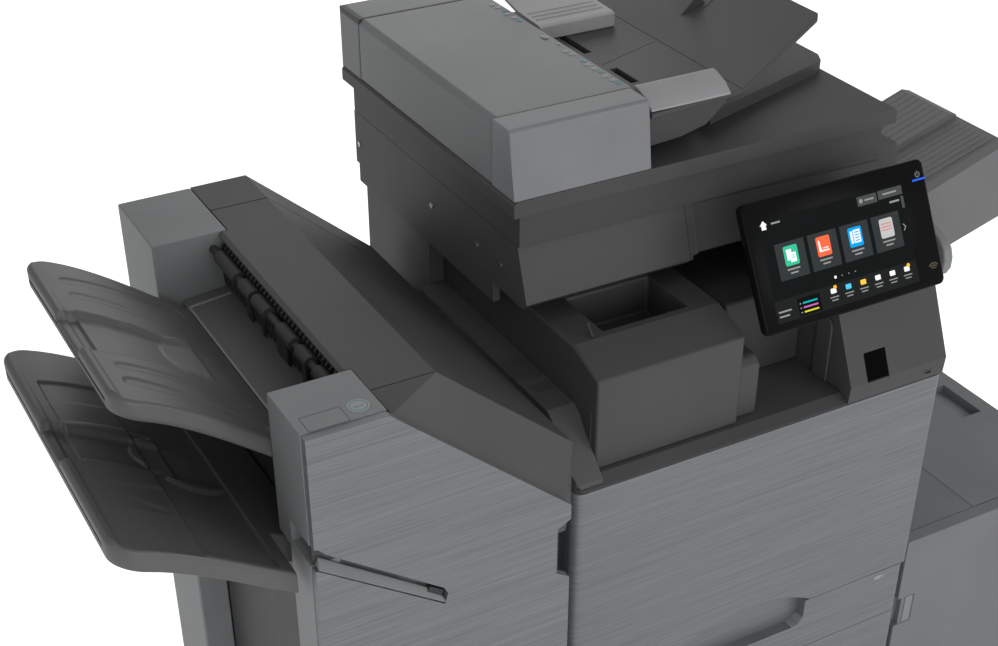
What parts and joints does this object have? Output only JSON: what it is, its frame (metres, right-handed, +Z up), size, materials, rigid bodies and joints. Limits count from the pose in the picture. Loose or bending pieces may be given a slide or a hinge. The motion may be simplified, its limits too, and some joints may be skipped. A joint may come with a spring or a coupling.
{
  "type": "multifunction photocopier",
  "caption": "Floor-standing colour photocopier with document feeder, touch panel, paper drawers, sorting finisher and large paper cabinet, with all covers and trays jointed.",
  "frame": {"origin": "on the floor under the middle of the machine's outline", "axes": "+X to the machine's right, +Y to its back, +Z up"},
  "size_m": [1.558, 0.723, 1.237],
  "materials": {
    "brushed_panel": "grey film finish with fine horizontal brushing",
    "dark_plastic": "fine-grained dark grey moulding",
    "shade_plastic": "fine-grained near-black moulding",
    "grey_plastic": "fine-grained mid grey moulding",
    "feeder_grey": "satin mid grey moulding",
    "tray_plastic": "satin warm dark grey moulding",
    "guide_plastic": "satin light grey moulding",
    "zinc_steel": "zinc-plated sheet",
    "screen_glass": "black glossy cover glass with a lit display",
    "scan_glass": "clear platen glass",
    "white_pad": "white platen pad",
    "rubber": "black elastomer",
    "wheel_tyre": "black nylon and rubber tread",
    "blue_light": "translucent power key",
    "belt_black": "transfer belt and drums",
    "toner_black": "black cartridge moulding",
    "toner_cyan": "cyan-keyed cartridge moulding",
    "toner_magenta": "magenta-keyed cartridge moulding",
    "toner_yellow": "yellow-keyed cartridge moulding",
    "fuser_coating": "release-coated silicone sleeve"
  },
  "bodies": {
    "engine": {"base_plate": "shade_plastic", "engine_frame": "zinc_steel", "left_cover": "grey_plastic", "right_cover": "grey_plastic", "rear_cover": "grey_plastic", "bay_deck": "dark_plastic", "relay_unit_cover": "dark_plastic", "right_pillar": "dark_plastic", "panel_arm": "shade_plastic", "scanner_housing": "dark_plastic", "platen_glass": "scan_glass", "right_exit_tray": "dark_plastic", "imaging_unit": "belt_black", "housing_screws": "zinc_steel", "caster_mounts": "shade_plastic", "finisher_frame": "shade_plastic", "finisher_front_column": "grey_plastic", "finisher_rear_column": "grey_plastic", "finisher_shoulder": "dark_plastic", "exit_guide_plate": "shade_plastic", "cabinet_body": "grey_plastic", "levelling_feet": "rubber"},
    "front_cover": {"front_cover": "brushed_panel"},
    "drawer_1": {"drawer_1_front": "brushed_panel", "drawer_1_tray": "zinc_steel"},
    "drawer_2": {"drawer_2_front": "brushed_panel", "drawer_2_tray": "zinc_steel"},
    "drawer_3": {"drawer_3_front": "brushed_panel", "drawer_3_tray": "zinc_steel"},
    "drawer_4": {"drawer_4_front": "brushed_panel", "drawer_4_tray": "zinc_steel"},
    "toner_1": {"toner_cartridge_1": "toner_black"},
    "toner_2": {"toner_cartridge_2": "toner_cyan"},
    "toner_3": {"toner_cartridge_3": "toner_magenta"},
    "toner_4": {"toner_cartridge_4": "toner_yellow"},
    "fuser_heat": {"fuser_heat_roller": "fuser_coating"},
    "fuser_press": {"fuser_press_roller": "rubber"},
    "scan_carriage": {"scan_carriage": "shade_plastic"},
    "feeder": {"feeder_base": "dark_plastic", "platen_pad": "white_pad", "feeder_front_cap": "feeder_grey"},
    "feeder_cover": {"feeder_cover": "feeder_grey"},
    "document_tray": {"document_tray": "dark_plastic"},
    "guide_front": {"guide_front": "guide_plastic"},
    "guide_rear": {"guide_rear": "guide_plastic"},
    "pickup_roller": {"pickup_roller": "rubber"},
    "panel": {"panel_housing": "shade_plastic", "panel_screen": "screen_glass"},
    "power_button": {"power_button": "blue_light"},
    "finisher_door": {"finisher_door": "brushed_panel"},
    "finisher_top_cover": {"finisher_top_cover": "dark_plastic"},
    "exit_roller": {"exit_roller": "rubber"},
    "staple_button": {"staple_button": "guide_plastic"},
    "offset_tray_upper": {"offset_tray_upper": "tray_plastic"},
    "offset_tray_lower": {"offset_tray_lower": "tray_plastic"},
    "cabinet_lid": {"cabinet_lid": "grey_plastic"},
    "caster_wheel_1": {"caster_wheel_1": "wheel_tyre"},
    "caster_wheel_2": {"caster_wheel_2": "wheel_tyre"},
    "caster_wheel_3": {"caster_wheel_3": "wheel_tyre"},
    "caster_wheel_4": {"caster_wheel_4": "wheel_tyre"}
  },
  "joints": [
    {"name": "front_cover_hinge", "type": "hinge", "parent": "engine", "child": "front_cover", "pos_m": [0.105, -0.2985, 0.44], "axis": [1, 0, 0], "range_deg": [0, 90]},
    {"name": "drawer_1_slide", "type": "slide", "parent": "engine", "child": "drawer_1", "axis": [0, -1, 0], "range_m": [0, 0.4]},
    {"name": "drawer_2_slide", "type": "slide", "parent": "engine", "child": "drawer_2", "axis": [0, -1, 0], "range_m": [0, 0.4]},
    {"name": "drawer_3_slide", "type": "slide", "parent": "engine", "child": "drawer_3", "axis": [0, -1, 0], "range_m": [0, 0.4]},
    {"name": "drawer_4_slide", "type": "slide", "parent": "engine", "child": "drawer_4", "axis": [0, -1, 0], "range_m": [0, 0.4]},
    {"name": "toner_1_slide", "type": "slide", "parent": "engine", "child": "toner_1", "axis": [0, -1, 0], "range_m": [0, 0.02]},
    {"name": "toner_2_slide", "type": "slide", "parent": "engine", "child": "toner_2", "axis": [0, -1, 0], "range_m": [0, 0.02]},
    {"name": "toner_3_slide", "type": "slide", "parent": "engine", "child": "toner_3", "axis": [0, -1, 0], "range_m": [0, 0.02]},
    {"name": "toner_4_slide", "type": "slide", "parent": "engine", "child": "toner_4", "axis": [0, -1, 0], "range_m": [0, 0.02]},
    {"name": "fuser_heat_turn", "type": "hinge", "parent": "engine", "child": "fuser_heat", "pos_m": [0.321, 0.0195, 0.711], "axis": [0, 1, 0], "continuous": true},
    {"name": "fuser_press_turn", "type": "hinge", "parent": "engine", "child": "fuser_press", "pos_m": [0.351, 0.0195, 0.711], "axis": [0, 1, 0], "continuous": true},
    {"name": "scan_carriage_travel", "type": "slide", "parent": "engine", "child": "scan_carriage", "axis": [1, 0, 0], "range_m": [0, 0.44]},
    {"name": "feeder_lid_hinge", "type": "hinge", "parent": "engine", "child": "feeder", "pos_m": [0.105, 0.3555, 1.047], "axis": [-1, 0, 0], "range_deg": [0, 60]},
    {"name": "feeder_cover_hinge", "type": "hinge", "parent": "feeder", "child": "feeder_cover", "pos_m": [-0.196, 0.0995, 1.124], "axis": [0, -1, 0], "range_deg": [0, 70]},
    {"name": "document_tray_lift", "type": "hinge", "parent": "feeder", "child": "document_tray", "pos_m": [0.003, 0.0315, 1.206], "axis": [0, -1, 0], "range_deg": [0, 25]},
    {"name": "guide_front_slide", "type": "slide", "parent": "document_tray", "child": "guide_front", "axis": [0, 1, 0], "range_m": [0, 0.08]},
    {"name": "guide_rear_slide", "type": "slide", "parent": "document_tray", "child": "guide_rear", "axis": [0, 1, 0], "range_m": [-0.08, 0]},
    {"name": "pickup_roller_turn", "type": "hinge", "parent": "feeder", "child": "pickup_roller", "pos_m": [-0.045, 0.0995, 1.177], "axis": [0, 1, 0], "continuous": true},
    {"name": "panel_tilt", "type": "hinge", "parent": "engine", "child": "panel", "pos_m": [0.234, -0.23105, 0.98513], "axis": [1, 0, 0], "range_deg": [-35, 15]},
    {"name": "power_button_press", "type": "slide", "parent": "panel", "child": "power_button", "axis": [0, 0.8763, -0.4817], "range_m": [0, 0.0015], "stiffness_N_per_m": 300},
    {"name": "finisher_door_hinge", "type": "hinge", "parent": "engine", "child": "finisher_door", "pos_m": [-0.564, -0.3595, 0.535], "axis": [0, 0, -1], "range_deg": [0, 100]},
    {"name": "finisher_top_cover_hinge", "type": "hinge", "parent": "engine", "child": "finisher_top_cover", "pos_m": [-0.333, 0.1855, 1.0255], "axis": [-1, 0, 0], "range_deg": [0, 50]},
    {"name": "exit_roller_turn", "type": "hinge", "parent": "engine", "child": "exit_roller", "pos_m": [-0.488, -0.0665, 1.003], "axis": [0, 1, 0], "continuous": true},
    {"name": "staple_button_press", "type": "slide", "parent": "engine", "child": "staple_button", "axis": [0, 0, -1], "range_m": [0, 0.002], "stiffness_N_per_m": 300},
    {"name": "offset_tray_upper_lift", "type": "slide", "parent": "engine", "child": "offset_tray_upper", "axis": [0, 0, -1], "range_m": [0, 0.04]},
    {"name": "offset_tray_lower_lift", "type": "slide", "parent": "engine", "child": "offset_tray_lower", "axis": [0, 0, -1], "range_m": [0, 0.35]},
    {"name": "cabinet_lid_hinge", "type": "hinge", "parent": "engine", "child": "cabinet_lid", "pos_m": [0.5564, -0.0365, 0.4665], "axis": [0, -1, 0], "range_deg": [0, 80]},
    {"name": "caster_wheel_1_roll", "type": "hinge", "parent": "engine", "child": "caster_wheel_1", "pos_m": [-0.133, -0.2105, 0.022], "axis": [1, 0, 0], "continuous": true},
    {"name": "caster_wheel_2_roll", "type": "hinge", "parent": "engine", "child": "caster_wheel_2", "pos_m": [0.343, -0.2105, 0.022], "axis": [1, 0, 0], "continuous": true},
    {"name": "caster_wheel_3_roll", "type": "hinge", "parent": "engine", "child": "caster_wheel_3", "pos_m": [-0.133, 0.2795, 0.022], "axis": [1, 0, 0], "continuous": true},
    {"name": "caster_wheel_4_roll", "type": "hinge", "parent": "engine", "child": "caster_wheel_4", "pos_m": [0.343, 0.2795, 0.022], "axis": [1, 0, 0], "continuous": true}
  ],
  "couplings": [
    {"joint": "fuser_press_turn", "follows": "fuser_heat_turn", "ratio": -1},
    {"joint": "guide_rear_slide", "follows": "guide_front_slide", "ratio": -1}
  ]
}
